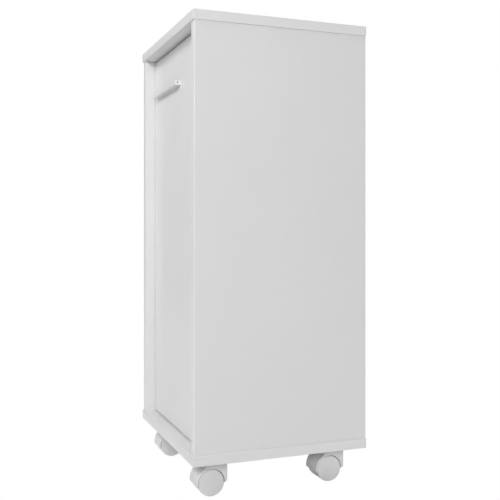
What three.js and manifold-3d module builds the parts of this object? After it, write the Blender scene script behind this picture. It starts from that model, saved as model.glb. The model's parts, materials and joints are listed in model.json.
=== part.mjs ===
// Rolling pedestal cabinet: a narrow board cabinet with one recessed door, two loose shelves
// and four twin-wheel swivel castors.
// Millimetres, +Z up, the door faces -Y. The origin is on the floor, under the middle of the cabinet.

import * as THREE from 'three';
import { mergeVertices } from 'three/addons/utils/BufferGeometryUtils.js';
import Module from 'manifold-3d';

const wasm = await Module();
wasm.setup();

// ---------------------------------------------------------------- driving dimensions

const boardWidth = 320;
const boardDepth = 284;
const boardThickness = 15;
const edgeStep = 2;             // the side panels stand this far in from the boards' edges
const carcassHeight = 664;      // underside of the bottom board to the top of the top board
const castorHeight = 56;        // floor to the underside of the bottom board
const doorSetback = 18;         // front edges of the side panels to the face of the door
const fitGap = 0.2;             // between a pin or screw and its bore
const restGap = 0.05;           // between a shelf and its pins
const moveGap = 0.3;            // between neighbours that slide or swing past each other
const boreSides = 10;
const roundSides = 16;
const wheelSides = 24;

const backPanel = { thickness: 3, grooveWidth: 3.5, grooveDepth: 6, fromBack: 10, sideGap: 0.5 };
const shelf = { count: 2, sideGap: 1, front: -95, backGap: 1 };
const shelfPin = { radius: 2.5, length: 16, buried: 8, collarRadius: 4, collar: 1.5 };
const shelfPinY = { front: -70, back: 100 };
const door = { topGap: 3.5, bottomGap: 2.5, freeGap: 2, hingeGap: 3 };
const pull = { length: 146, depth: 9, height: 7.8, fromDoorEdge: 17, z: 634, groove: 2, floor: 2.6 };
const pullBoss = { length: 8, belowTop: 1 };
const pullScrew = { spacing: 96, radius: 1.5, reach: 7, headRadius: 4, head: 2, slot: 1 };
const hinge = { length: 50, knuckles: 5, barrelRadius: 3, leaf: 1.2, leafWidth: 13, doorGap: 0.5 };
const hingePinRadius = 1.2;
const hingePinHead = { radius: 2.4, height: 1.2 };
const hingeInset = 80;          // end of the door to the middle of a hinge
const catchBody = { x: -108, width: 24, ears: 44, ear: 3, depth: 14, height: 13, toStrike: 0.3 };
const strike = { width: 28, height: 8, thickness: 1, z: 696 };
const leafScrewRadius = 1.7;
const camLock = { radius: 7.4, depth: 12, sunk: 0.2, belowTop: 34, frontY: -85, backY: 95, slot: 1.6 };
const longScrew = { length: 50, headRadius: 4.8, head: 4, radius: 2.5, frontY: -60, backY: 60, socket: 2.2 };

const castorX = 111;            // middle of the cabinet to the swivel axes
const castorFrontY = -94.8;
const castorBackY = 101.8;
const trail = 9.4;              // swivel axis to wheel axle
const wheel = { radius: 20.2, width: 13.4, inner: 5.3, dome: 0.4, edge: 1.6, bore: 2.65, boreDepth: 10 };
const axle = { radius: 2.5, length: 29 };
const hood = { width: 38, web: 10, radius: 23.2, pocket: 21, backY: 25.2, topZ: 32.8, corner: 2 };
const hoodFront = { lipAngle: 9, crownAngle: 65, topY: -4.6 };
const hoodBottom = { backZ: 1.4, chamferY: 20.4, chamferZ: -1.6, webY: 10, webZ: -6.6 };
const kingpin = { radius: 3, bottomZ: 6, flangeRadius: 7, flange: 0.9, rivetRadius: 3.8 };
const kingpinBore = { radius: 3.2, bottomZ: 4 };
const plate = { size: 38, thickness: 2, cornerRadius: 4, holeSpacing: 30, holeRadius: 2.2 };

// ---------------------------------------------------------------- derived positions

const boardHalfWidth = boardWidth / 2;
const boardHalfDepth = boardDepth / 2;
const sideOuterX = boardHalfWidth - edgeStep;
const sideInnerX = sideOuterX - boardThickness;
const sideFrontY = -boardHalfDepth + edgeStep;
const floorZ = castorHeight + boardThickness;
const cabinetTopZ = castorHeight + carcassHeight;
const ceilingZ = cabinetTopZ - boardThickness;

const grooveBackY = boardHalfDepth - backPanel.fromBack;
const grooveFrontY = grooveBackY - backPanel.grooveWidth;
const grooveX = sideInnerX + backPanel.grooveDepth;

const doorFrontY = sideFrontY + doorSetback;
const doorBackY = doorFrontY + boardThickness;
const doorLeftX = -sideInnerX + door.freeGap;
const doorRightX = sideInnerX - door.hingeGap;
const doorBottomZ = floorZ + door.bottomGap;
const doorTopZ = ceilingZ - door.topGap;
const hingeX = sideInnerX - moveGap - hinge.barrelRadius;
const hingeY = doorFrontY - hinge.doorGap - hinge.barrelRadius;

const pullLeftX = doorLeftX + pull.fromDoorEdge;
const pullMiddleX = pullLeftX + pull.length / 2;
const pullScrewZ = pull.z + pull.height / 2;

// ---------------------------------------------------------------- solids and shapes

// A closed three.js geometry as a solid that can be cut and joined.
function toSolid(geometry) {
  const bare = geometry.clone();
  bare.deleteAttribute('normal');
  bare.deleteAttribute('uv');
  const welded = mergeVertices(bare);
  const corners = welded.index.array;
  const triangles = [];
  for (let i = 0; i < corners.length; i += 3) {
    const [a, b, c] = corners.slice(i, i + 3);
    if (a !== b && b !== c && c !== a) triangles.push(a, b, c);
  }
  return new wasm.Manifold(new wasm.Mesh({
    numProp: 3,
    vertProperties: Float32Array.from(welded.attributes.position.array),
    triVerts: Uint32Array.from(triangles),
  }));
}

function toGeometry(solid) {
  const mesh = solid.getMesh();
  const geometry = new THREE.BufferGeometry();
  geometry.setAttribute('position', new THREE.BufferAttribute(Float32Array.from(mesh.vertProperties), 3));
  geometry.setIndex(new THREE.BufferAttribute(Uint32Array.from(mesh.triVerts), 1));
  geometry.computeVertexNormals();
  return geometry;
}

function cut(geometry, cutters) {
  let solid = toSolid(geometry);
  for (const cutter of cutters) solid = solid.subtract(toSolid(cutter));
  return toGeometry(solid);
}

function join(geometries) {
  let solid = toSolid(geometries[0]);
  for (const geometry of geometries.slice(1)) solid = solid.add(toSolid(geometry));
  return toGeometry(solid);
}

function block(low, high) {
  const [width, depth, height] = high.map((value, i) => value - low[i]);
  const geometry = new THREE.BoxGeometry(width, depth, height);
  return geometry.translate(low[0] + width / 2, low[1] + depth / 2, low[2] + height / 2);
}

// Turns a geometry made along +Y so that it runs along the named axis.
function turnTo(axis, geometry) {
  if (axis === 'x') geometry.rotateZ(-Math.PI / 2);
  if (axis === 'z') geometry.rotateX(Math.PI / 2);
  return geometry;
}

// A round rod that starts at a point and runs along +X, +Y or +Z.
function rod(axis, start, radius, length, sides = boreSides) {
  const geometry = new THREE.CylinderGeometry(radius, radius, length, sides);
  geometry.translate(0, length / 2, 0);
  return turnTo(axis, geometry).translate(...start);
}

// A turned solid from [radius, height] points, with its height along the named axis.
function turned(axis, profile, sides = boreSides) {
  const points = profile.map(([radius, height]) => new THREE.Vector2(radius, height));
  return turnTo(axis, new THREE.LatheGeometry(points, sides));
}

// An outline in the Y-Z plane, extruded along X and centred on X = 0.
function extrudeAcross(outline, width) {
  const settings = { depth: width, bevelEnabled: false, curveSegments: 10 };
  const geometry = new THREE.ExtrudeGeometry(outline, settings);
  geometry.translate(0, 0, -width / 2);
  geometry.rotateX(Math.PI / 2);
  geometry.rotateZ(Math.PI / 2);
  return geometry;
}

function outlineOf(points) {
  return new THREE.Shape(points.map(([x, y]) => new THREE.Vector2(x, y)));
}

// ---------------------------------------------------------------- materials

const finishes = {
  whiteBoard: { color: 0xe6e6e5, roughness: 0.45, metalness: 0 },
  hardboard: { color: 0xe2e2e0, roughness: 0.6, metalness: 0 },
  whiteGloss: { color: 0xf2f2f1, roughness: 0.25, metalness: 0 },
  whitePlastic: { color: 0xdededd, roughness: 0.4, metalness: 0 },
  greyPlastic: { color: 0xb9babb, roughness: 0.5, metalness: 0 },
  steel: { color: 0xb4b6b8, roughness: 0.35, metalness: 1 },
};

function piece(name, geometry, finish) {
  const mesh = new THREE.Mesh(geometry, new THREE.MeshStandardMaterial(finishes[finish]));
  mesh.name = name;
  return mesh;
}

// A board between two corners of the cabinet, with its bores and grooves cut.
function boardPiece(name, low, high, cutters = [], finish = 'whiteBoard') {
  const middle = low.map((value, i) => (value + high[i]) / 2);
  const geometry = cut(block(low, high), cutters);
  const mesh = piece(name, geometry.translate(...middle.map((value) => -value)), finish);
  mesh.position.set(...middle);
  return mesh;
}

// ---------------------------------------------------------------- carcass

const longScrewX = (sideInnerX + sideOuterX) / 2;
const sides = [
  { word: 'left', sign: -1 },
  { word: 'right', sign: 1 },
];
const screwRows = [
  { word: 'front', y: longScrew.frontY },
  { word: 'back', y: longScrew.backY },
];
const camRows = [
  { word: 'front', y: camLock.frontY },
  { word: 'back', y: camLock.backY },
];
const pinRows = [
  { word: 'front', y: shelfPinY.front },
  { word: 'back', y: shelfPinY.back },
];

// Shelves share the inside height evenly.
const clearHeight = (ceilingZ - floorZ - shelf.count * boardThickness) / (shelf.count + 1);
const shelves = ['lower', 'upper'].map((word, i) => ({
  word,
  z: floorZ + (i + 1) * clearHeight + i * boardThickness,
}));

function longScrewBore(x, y) {
  const head = rod('z', [x, y, castorHeight - 1], longScrew.headRadius + fitGap, longScrew.head + 1 + fitGap);
  const shank = rod('z', [x, y, castorHeight], longScrew.radius + fitGap, longScrew.length + fitGap);
  return [head, shank];
}

function boardGroove(lowZ, highZ) {
  return block([-grooveX, grooveFrontY, lowZ], [grooveX, grooveBackY, highZ]);
}

function bottomBoard() {
  const cutters = [boardGroove(floorZ - backPanel.grooveDepth, floorZ + 1)];
  for (const side of sides) {
    for (const row of screwRows) cutters.push(...longScrewBore(side.sign * longScrewX, row.y));
  }
  const low = [-boardHalfWidth, -boardHalfDepth, castorHeight];
  return boardPiece('bottom_board', low, [boardHalfWidth, boardHalfDepth, floorZ], cutters);
}

function topBoard() {
  const cutters = [boardGroove(ceilingZ - 1, ceilingZ + backPanel.grooveDepth)];
  const low = [-boardHalfWidth, -boardHalfDepth, ceilingZ];
  return boardPiece('top_board', low, [boardHalfWidth, boardHalfDepth, cabinetTopZ], cutters);
}

// Span from one X to another on the left or right side, lowest first.
function spanX(side, from, to) {
  return [side.sign * from, side.sign * to].sort((a, b) => a - b);
}

function sidePanel(side) {
  const [grooveLow, grooveHigh] = spanX(side, sideInnerX - 1, grooveX);
  const cutters = [block([grooveLow, grooveFrontY, floorZ - 1], [grooveHigh, grooveBackY, ceilingZ + 1])];
  for (const row of screwRows) cutters.push(...longScrewBore(side.sign * longScrewX, row.y));
  for (const row of camRows) {
    const depth = camLock.sunk + camLock.depth + fitGap;
    const [startX] = spanX(side, sideInnerX - 1, sideInnerX + depth);
    const start = [startX, row.y, ceilingZ - camLock.belowTop];
    cutters.push(rod('x', start, camLock.radius + fitGap, depth + 1, roundSides));
  }
  for (const { z } of shelves) {
    for (const row of pinRows) {
      const depth = shelfPin.buried + fitGap;
      const [startX] = spanX(side, sideInnerX - 1, sideInnerX + depth);
      cutters.push(rod('x', [startX, row.y, pinZ(z)], shelfPin.radius + fitGap, depth + 1));
    }
  }
  const [lowX, highX] = spanX(side, sideInnerX, sideOuterX);
  const low = [lowX, sideFrontY, floorZ];
  return boardPiece(`${side.word}_side_panel`, low, [highX, boardHalfDepth, ceilingZ], cutters);
}

function backPiece() {
  const halfWidth = grooveX - backPanel.sideGap;
  const overlap = backPanel.grooveDepth - backPanel.sideGap;
  const frontY = (grooveFrontY + grooveBackY - backPanel.thickness) / 2;
  const low = [-halfWidth, frontY, floorZ - overlap];
  const high = [halfWidth, frontY + backPanel.thickness, ceilingZ + overlap];
  return boardPiece('back_panel', low, high, [], 'hardboard');
}

// ---------------------------------------------------------------- shelves and their pins

function pinZ(shelfZ) {
  return shelfZ - shelfPin.radius - restGap;
}

function shelfPiece({ word, z }) {
  const halfWidth = sideInnerX - shelf.sideGap;
  const low = [-halfWidth, shelf.front, z];
  return boardPiece(`${word}_shelf`, low, [halfWidth, grooveFrontY - shelf.backGap, z + boardThickness]);
}

// A pin along X: its buried end starts at height 0 and its collar bears on the panel.
function shelfPinPieces({ word, z }) {
  const shank = rod('x', [0, 0, 0], shelfPin.radius, shelfPin.length);
  const collar = rod('x', [shelfPin.buried, 0, 0], shelfPin.collarRadius, shelfPin.collar);
  const lowered = cut(collar, [block([0, -10, shelfPin.radius], [shelfPin.length, 10, 10])]);
  const geometry = join([shank, lowered]);
  const pins = [];
  for (const side of sides) {
    for (const row of pinRows) {
      const pin = piece(`${word}_shelf_pin_${row.word}_${side.word}`, geometry, 'steel');
      pin.position.set(side.sign * (sideInnerX + shelfPin.buried), row.y, pinZ(z));
      if (side.sign > 0) pin.rotation.z = Math.PI;
      pins.push(pin);
    }
  }
  return pins;
}

// ---------------------------------------------------------------- carcass fasteners

// Round cam with a cross slot in its face, which looks into the cabinet.
function camLockPieces() {
  const body = rod('x', [0, 0, 0], camLock.radius, camLock.depth, roundSides);
  const arm = camLock.radius * 0.6;
  const slots = [
    block([-1, -arm, -camLock.slot / 2], [camLock.slot, arm, camLock.slot / 2]),
    block([-1, -camLock.slot / 2, -arm], [camLock.slot, camLock.slot / 2, arm]),
  ];
  const geometry = cut(body, slots);
  const locks = [];
  for (const side of sides) {
    for (const row of camRows) {
      const lock = piece(`cam_lock_${row.word}_${side.word}`, geometry, 'steel');
      lock.position.set(side.sign * (sideInnerX + camLock.sunk), row.y, ceilingZ - camLock.belowTop);
      if (side.sign < 0) lock.rotation.z = Math.PI;
      locks.push(lock);
    }
  }
  return locks;
}

// Long assembly screw, head down and flush with the underside of the bottom board.
function longScrewPieces() {
  const tip = longScrew.length - longScrew.radius;
  const body = turned('z', [
    [0, 0],
    [longScrew.headRadius, 0],
    [longScrew.headRadius, longScrew.head * 0.4],
    [longScrew.radius, longScrew.head],
    [longScrew.radius, tip],
    [0, longScrew.length],
  ]);
  const socket = rod('z', [0, 0, -1], longScrew.socket, longScrew.head, 6);
  const geometry = cut(body, [socket]);
  const screws = [];
  for (const side of sides) {
    for (const row of screwRows) {
      const screw = piece(`assembly_screw_${row.word}_${side.word}`, geometry, 'steel');
      screw.position.set(side.sign * longScrewX, row.y, castorHeight);
      screws.push(screw);
    }
  }
  return screws;
}

// ---------------------------------------------------------------- door and pull

const pullScrewXs = [
  { word: 'left', x: pullMiddleX - pullScrew.spacing / 2 },
  { word: 'right', x: pullMiddleX + pullScrew.spacing / 2 },
];

function doorPanel() {
  const bores = pullScrewXs.map(({ x }) => (
    rod('y', [x, doorFrontY - 1, pullScrewZ], pullScrew.radius + fitGap, boardThickness + 2)
  ));
  const low = [doorLeftX, doorFrontY, doorBottomZ];
  return boardPiece('door_panel', low, [doorRightX, doorBackY, doorTopZ], bores);
}

// Channel-shaped bar, open at its top, with a boss for each screw. Y = 0 is the door's face.
function pullPiece() {
  const wall = (pull.depth - pull.groove) / 2;
  const channel = extrudeAcross(outlineOf([
    [0, 0],
    [0, pull.height],
    [-wall, pull.height],
    [-wall, pull.floor],
    [-wall - pull.groove, pull.floor],
    [-wall - pull.groove, pull.height],
    [-pull.depth, pull.height],
    [-pull.depth, 0],
  ]), pull.length);
  const bosses = [];
  const bores = [];
  for (const { x } of pullScrewXs) {
    const middle = x - pullMiddleX;
    const low = [middle - pullBoss.length / 2, -wall - pull.groove - 0.5, pull.floor - 0.5];
    bosses.push(block(low, [middle + pullBoss.length / 2, -wall + 0.5, pull.height - pullBoss.belowTop]));
    const start = [middle, -pullScrew.reach - fitGap, pull.height / 2];
    bores.push(rod('y', start, pullScrew.radius + fitGap, pullScrew.reach + 1));
  }
  const mesh = piece('door_pull', cut(join([channel, ...bosses]), bores), 'whiteGloss');
  mesh.position.set(pullMiddleX, doorFrontY, pull.z);
  return mesh;
}

// Screw from inside the door: Y = 0 is the door's inner face, and the shank runs to -Y.
function pullScrewPieces() {
  const length = boardThickness + pullScrew.reach;
  const shank = rod('y', [0, -length, 0], pullScrew.radius, length + 0.5);
  const head = rod('y', [0, 0, 0], pullScrew.headRadius, pullScrew.head, roundSides);
  const slot = pullScrew.slot / 2;
  const slots = [
    block([-2.2, pullScrew.head - 1, -slot], [2.2, pullScrew.head + 1, slot]),
    block([-slot, pullScrew.head - 1, -2.2], [slot, pullScrew.head + 1, 2.2]),
  ];
  const geometry = cut(join([shank, head]), slots);
  return pullScrewXs.map(({ word, x }) => {
    const screw = piece(`pull_screw_${word}`, geometry, 'steel');
    screw.position.set(x, doorBackY, pullScrewZ);
    return screw;
  });
}

// ---------------------------------------------------------------- door hinges

// Heights of one leaf's knuckles: the side panel's leaf takes the even ones, the door's the odd ones.
function knuckleSpans(first) {
  const pitch = hinge.length / hinge.knuckles;
  const spans = [];
  for (let i = first; i < hinge.knuckles; i += 2) {
    const low = i * pitch - hinge.length / 2;
    spans.push([low + moveGap / 2, low + pitch - moveGap / 2]);
  }
  return spans;
}

// One leaf around the pin axis at X = Y = 0. Its flat plate lies between the X values given.
function hingeLeaf(lowX, highX, firstKnuckle) {
  const half = hinge.length / 2;
  const plateFrontY = doorFrontY - hingeY;
  const plateBackY = plateFrontY + hinge.leafWidth;
  const parts = [block([lowX, plateFrontY, -half], [highX, plateBackY, half])];
  for (const [low, high] of knuckleSpans(firstKnuckle)) {
    parts.push(rod('z', [0, 0, low], hinge.barrelRadius, high - low, roundSides));
    parts.push(block([lowX, hinge.barrelRadius * 0.6, low], [highX, plateFrontY + 1, high]));
  }
  const cutters = [rod('z', [0, 0, -half - 1], hingePinRadius + moveGap, hinge.length + 2)];
  const screwY = plateFrontY + hinge.leafWidth * 0.6;
  for (const z of [-half * 0.7, 0, half * 0.7]) {
    cutters.push(rod('x', [lowX - 1, screwY, z], leafScrewRadius, hinge.leaf + 2));
  }
  return cut(join(parts), cutters);
}

// Pin with a flat head at each end.
function hingePin() {
  const { radius, height } = hingePinHead;
  const seat = hinge.length / 2 + moveGap;
  return turned('z', [
    [0, -seat - height],
    [radius, -seat - height],
    [radius, -seat],
    [hingePinRadius, -seat],
    [hingePinRadius, seat],
    [radius, seat],
    [radius, seat + height],
    [0, seat + height],
  ]);
}

function hingePieces(word, z) {
  const panelFaceX = sideInnerX - hingeX;
  const doorEdgeX = doorRightX - hingeX;
  const frameLeaf = hingeLeaf(panelFaceX - hinge.leaf, panelFaceX, 0);
  const doorLeaf = hingeLeaf(doorEdgeX, doorEdgeX + hinge.leaf, 1);
  const group = new THREE.Group();
  group.add(piece(`${word}_hinge_frame_leaf`, frameLeaf, 'steel'));
  group.add(piece(`${word}_hinge_door_leaf`, doorLeaf, 'steel'));
  group.add(piece(`${word}_hinge_pin`, hingePin(), 'steel'));
  group.position.set(hingeX, hingeY, z);
  return group;
}

// ---------------------------------------------------------------- magnetic catch

// Block with two ears, screwed to the underside of the top board. Y = 0 is the face that meets the strike.
function catchPiece() {
  const half = catchBody.width / 2;
  const halfEars = catchBody.ears / 2;
  const body = block([-half, 0, -catchBody.height], [half, catchBody.depth, 0]);
  const ears = block([-halfEars, 1, -catchBody.ear], [halfEars, catchBody.depth - 1, 0]);
  const holes = [-1, 1].map((sign) => {
    const x = sign * (half + halfEars) / 2;
    return rod('z', [x, catchBody.depth / 2, -catchBody.ear - 1], leafScrewRadius, catchBody.ear + 2);
  });
  const mesh = piece('magnetic_catch', cut(join([body, ears]), holes), 'greyPlastic');
  mesh.position.set(catchBody.x, doorBackY + strike.thickness + catchBody.toStrike, ceilingZ);
  return mesh;
}

function strikePiece() {
  const halfWidth = strike.width / 2;
  const halfHeight = strike.height / 2;
  const sheet = block([-halfWidth, 0, -halfHeight], [halfWidth, strike.thickness, halfHeight]);
  const hole = rod('y', [0, -1, 0], leafScrewRadius, strike.thickness + 2);
  const mesh = piece('strike_plate', cut(sheet, [hole]), 'steel');
  mesh.position.set(catchBody.x, doorBackY, strike.z);
  return mesh;
}

// ---------------------------------------------------------------- castors

// Square plate with rounded corners: Z = 0 is its upper face, under the bottom board.
function castorPlate() {
  const half = plate.size / 2;
  const straight = half - plate.cornerRadius;
  const outline = new THREE.Shape();
  outline.moveTo(-straight, -half);
  outline.absarc(straight, -straight, plate.cornerRadius, -Math.PI / 2, 0);
  outline.absarc(straight, straight, plate.cornerRadius, 0, Math.PI / 2);
  outline.absarc(-straight, straight, plate.cornerRadius, Math.PI / 2, Math.PI);
  outline.absarc(-straight, -straight, plate.cornerRadius, Math.PI, Math.PI * 1.5);
  const settings = { depth: plate.thickness, bevelEnabled: false, curveSegments: 4 };
  const sheet = new THREE.ExtrudeGeometry(outline, settings).translate(0, 0, -plate.thickness);
  const cutters = [rod('z', [0, 0, -plate.thickness - 1], kingpin.rivetRadius + fitGap, plate.thickness + 2)];
  for (const signX of [-1, 1]) {
    for (const signY of [-1, 1]) {
      const start = [signX * plate.holeSpacing / 2, signY * plate.holeSpacing / 2, -plate.thickness - 1];
      cutters.push(rod('z', start, plate.holeRadius, plate.thickness + 2));
    }
  }
  return cut(sheet, cutters);
}

// Pin riveted into the plate, with a flange that the hood turns under. Z = 0 is the axle's height.
function castorKingpin() {
  const plateLowZ = castorHeight - plate.thickness - wheel.radius;
  return turned('z', [
    [0, kingpin.bottomZ],
    [kingpin.radius, kingpin.bottomZ],
    [kingpin.radius, plateLowZ - kingpin.flange],
    [kingpin.flangeRadius, plateLowZ - kingpin.flange],
    [kingpin.flangeRadius, plateLowZ],
    [kingpin.rivetRadius, plateLowZ],
    [kingpin.rivetRadius, plateLowZ + plate.thickness - moveGap],
    [0, plateLowZ + plate.thickness - moveGap],
  ]);
}

// Hood around the axle at Y = Z = 0: a round front wall over the wheels, a solid back and top,
// and a web between the two wheel pockets that carries the axle and the kingpin.
function castorHood() {
  const lip = THREE.MathUtils.degToRad(hoodFront.lipAngle);
  const crown = THREE.MathUtils.degToRad(hoodFront.crownAngle);
  const outline = new THREE.Shape();
  outline.absarc(0, 0, hood.radius, Math.PI + lip, Math.PI - crown, true);
  outline.lineTo(hoodFront.topY, hood.topZ);
  outline.absarc(hood.backY - hood.corner, hood.topZ - hood.corner, hood.corner, Math.PI / 2, 0, true);
  outline.lineTo(hood.backY, hoodBottom.backZ);
  outline.lineTo(hoodBottom.chamferY, hoodBottom.chamferZ);
  outline.lineTo(hoodBottom.webY, hoodBottom.webZ);
  outline.lineTo(-hoodBottom.webY, hoodBottom.webZ);
  const pocketSides = 2 * roundSides;
  const pocketDepth = hood.width / 2 + 1 - hood.web / 2;
  const cutters = [
    rod('x', [hood.web / 2, 0, 0], hood.pocket, pocketDepth, pocketSides),
    rod('x', [-hood.web / 2 - pocketDepth, 0, 0], hood.pocket, pocketDepth, pocketSides),
    rod('x', [-hood.web, 0, 0], axle.radius + fitGap, 2 * hood.web),
    rod('z', [0, trail, kingpinBore.bottomZ], kingpinBore.radius, hood.topZ),
  ];
  return cut(extrudeAcross(outline, hood.width), cutters);
}

// Wheel disc with a blind bore: its inner face is at X = 0 and its slightly domed face looks to +X.
function castorWheel() {
  const rim = wheel.width - wheel.dome;
  return turned('x', [
    [0, wheel.boreDepth],
    [wheel.bore, wheel.boreDepth],
    [wheel.bore, 0],
    [wheel.radius - 1.2, 0],
    [wheel.radius, 1.2],
    [wheel.radius, rim - wheel.edge],
    [wheel.radius - wheel.edge * 0.3, rim - wheel.edge * 0.3],
    [wheel.radius - wheel.edge, rim],
    [0, wheel.width],
  ], wheelSides);
}

const castorShapes = {
  plate: castorPlate(),
  kingpin: castorKingpin(),
  hood: castorHood(),
  axle: rod('x', [-axle.length / 2, 0, 0], axle.radius, axle.length),
  wheel: castorWheel(),
};

// One castor on its swivel axis: X = Y = 0 is the kingpin and Z = 0 is the floor.
function castor(name) {
  const group = new THREE.Group();
  const mountingPlate = piece(`${name}_plate`, castorShapes.plate, 'steel');
  mountingPlate.position.z = castorHeight;
  const pin = piece(`${name}_kingpin`, castorShapes.kingpin, 'steel');
  pin.position.z = wheel.radius;
  group.add(mountingPlate, pin);

  const runningGear = new THREE.Group();
  runningGear.position.set(0, -trail, wheel.radius);
  runningGear.add(piece(`${name}_hood`, castorShapes.hood, 'whitePlastic'));
  runningGear.add(piece(`${name}_axle`, castorShapes.axle, 'steel'));
  for (const side of sides) {
    const disc = piece(`${name}_wheel_${side.word}`, castorShapes.wheel, 'whitePlastic');
    disc.position.x = side.sign * wheel.inner;
    if (side.sign < 0) disc.rotation.z = Math.PI;
    runningGear.add(disc);
  }
  group.add(runningGear);
  return group;
}

// ---------------------------------------------------------------- assembly

const cabinet = new THREE.Group();

cabinet.add(bottomBoard(), topBoard(), backPiece());
for (const side of sides) cabinet.add(sidePanel(side));
for (const level of shelves) cabinet.add(shelfPiece(level), ...shelfPinPieces(level));
cabinet.add(...camLockPieces(), ...longScrewPieces());

cabinet.add(doorPanel(), pullPiece(), ...pullScrewPieces());
cabinet.add(hingePieces('lower', doorBottomZ + hingeInset));
cabinet.add(hingePieces('upper', doorTopZ - hingeInset));
cabinet.add(catchPiece(), strikePiece());

for (const row of [{ word: 'front', y: castorFrontY }, { word: 'back', y: castorBackY }]) {
  for (const side of sides) {
    const unit = castor(`castor_${row.word}_${side.word}`);
    unit.position.set(side.sign * castorX, row.y, 0);
    cabinet.add(unit);
  }
}

export default cabinet;
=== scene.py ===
import json
import math

import bmesh
import bpy
from mathutils import Matrix, Vector


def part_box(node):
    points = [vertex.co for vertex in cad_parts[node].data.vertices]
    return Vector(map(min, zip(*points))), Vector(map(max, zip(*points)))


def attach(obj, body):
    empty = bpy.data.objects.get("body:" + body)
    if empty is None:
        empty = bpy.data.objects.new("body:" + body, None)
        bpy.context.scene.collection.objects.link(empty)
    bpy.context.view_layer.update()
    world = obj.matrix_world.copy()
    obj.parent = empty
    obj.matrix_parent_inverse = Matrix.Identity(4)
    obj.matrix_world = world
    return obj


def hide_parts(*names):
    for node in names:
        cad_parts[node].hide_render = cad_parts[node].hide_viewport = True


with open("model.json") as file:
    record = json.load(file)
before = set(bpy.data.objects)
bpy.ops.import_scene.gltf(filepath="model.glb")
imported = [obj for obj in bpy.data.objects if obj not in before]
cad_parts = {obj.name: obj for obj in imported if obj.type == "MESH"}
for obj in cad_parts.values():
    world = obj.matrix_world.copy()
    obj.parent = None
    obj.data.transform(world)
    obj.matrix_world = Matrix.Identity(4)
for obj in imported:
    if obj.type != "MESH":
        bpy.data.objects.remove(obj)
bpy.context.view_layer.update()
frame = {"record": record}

# Rolling pedestal cabinet: white boards with edge bands, a recessed door with a slim pull,
# shelves behind it, steel hardware and twin-wheel plastic castors.
# Everything is in metres, in the row frame: +Z up, the door faces -Y.

MM = 0.001

# ---------------------------------------------------------------- driving sizes

BAND = 0.8 * MM                 # thickness of the plastic edge band
ARRIS = 0.7 * MM                # rounding of a band's outer edges
SEAM = 0.12 * MM                # tiny chamfer where a band meets its board
BORE_GAP = 0.15 * MM            # between a fastener and its bore
ROUND = 64                      # sides of a turned piece
SMALL_ROUND = 48                # sides of pins, screws and their bores
BORE_ROUND = 32                 # sides of a narrow bore
FINE_ROUND = 96                 # sides of a wheel

SIDES = {"left": -1, "right": 1}
ROWS = ("front", "back")
LEVELS = ("lower", "upper")
CASTORS = [f"castor_{row}_{side}" for row in ROWS for side in SIDES]
CABINET_STEEL = "castor_front_left_plate"   # a node in the body that the catch's steel rides with

BODY_OF = {
    node: body
    for body, nodes in frame["record"]["behaviour"]["bodies"].items()
    for node in nodes
}


def middle(node):
    low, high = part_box(node)
    return (low + high) / 2


# ---------------------------------------------------------------- node materials

class Surface:
    """A Principled material whose nodes are added one by one."""

    def __init__(self, name, color, roughness, metallic=0.0):
        self.material = bpy.data.materials.new(name)
        self.material.use_nodes = True
        self.nodes = self.material.node_tree.nodes
        self.links = self.material.node_tree.links
        self.shader = self.nodes["Principled BSDF"]
        self.shader.inputs["Metallic"].default_value = metallic
        self.color = color
        self.roughness = roughness
        self.place = self.nodes.new("ShaderNodeTexCoord").outputs["Object"]

    def noise(self, scale, detail=3.0, stretch=(1, 1, 1)):
        mapping = self.nodes.new("ShaderNodeMapping")
        mapping.inputs["Scale"].default_value = stretch
        texture = self.nodes.new("ShaderNodeTexNoise")
        texture.inputs["Scale"].default_value = scale
        texture.inputs["Detail"].default_value = detail
        self.links.new(self.place, mapping.inputs["Vector"])
        self.links.new(mapping.outputs["Vector"], texture.inputs["Vector"])
        return texture.outputs["Fac"]

    def cells(self, scale):
        texture = self.nodes.new("ShaderNodeTexVoronoi")
        texture.inputs["Scale"].default_value = scale
        self.links.new(self.place, texture.inputs["Vector"])
        return texture.outputs["Distance"]

    def spread(self, factor, low, high, start=0.3, stop=0.7):
        """A value that runs from low to high as the factor runs from start to stop."""
        ramp = self.nodes.new("ShaderNodeMapRange")
        for socket, value in zip(ramp.inputs[1:5], (start, stop, low, high)):
            socket.default_value = value
        self.links.new(factor, ramp.inputs["Value"])
        return ramp.outputs["Result"]

    def math(self, operation, first, second):
        node = self.nodes.new("ShaderNodeMath")
        node.operation = operation
        for socket, value in zip(node.inputs, (first, second)):
            if isinstance(value, float):
                socket.default_value = value
            else:
                self.links.new(value, socket)
        return node.outputs["Value"]

    def tint(self, brightness):
        """Multiplies the base colour by a brightness field."""
        mix = self.nodes.new("ShaderNodeVectorMath")
        mix.operation = "SCALE"
        mix.inputs[0].default_value = self.color
        self.links.new(brightness, mix.inputs["Scale"])
        self.links.new(mix.outputs["Vector"], self.shader.inputs["Base Color"])

    def gloss(self, variation):
        self.links.new(variation, self.shader.inputs["Roughness"])

    def relief(self, height, strength, distance):
        bump = self.nodes.new("ShaderNodeBump")
        bump.inputs["Strength"].default_value = strength
        bump.inputs["Distance"].default_value = distance
        self.links.new(height, bump.inputs["Height"])
        self.links.new(bump.outputs["Normal"], self.shader.inputs["Normal"])

    def finish(self, brightness, rough_spread, rough_noise):
        """The colour field, and a roughness that wanders around its middle value."""
        self.tint(brightness)
        half = rough_spread / 2
        self.gloss(self.spread(rough_noise, self.roughness - half, self.roughness + half))
        return self.material


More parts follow.
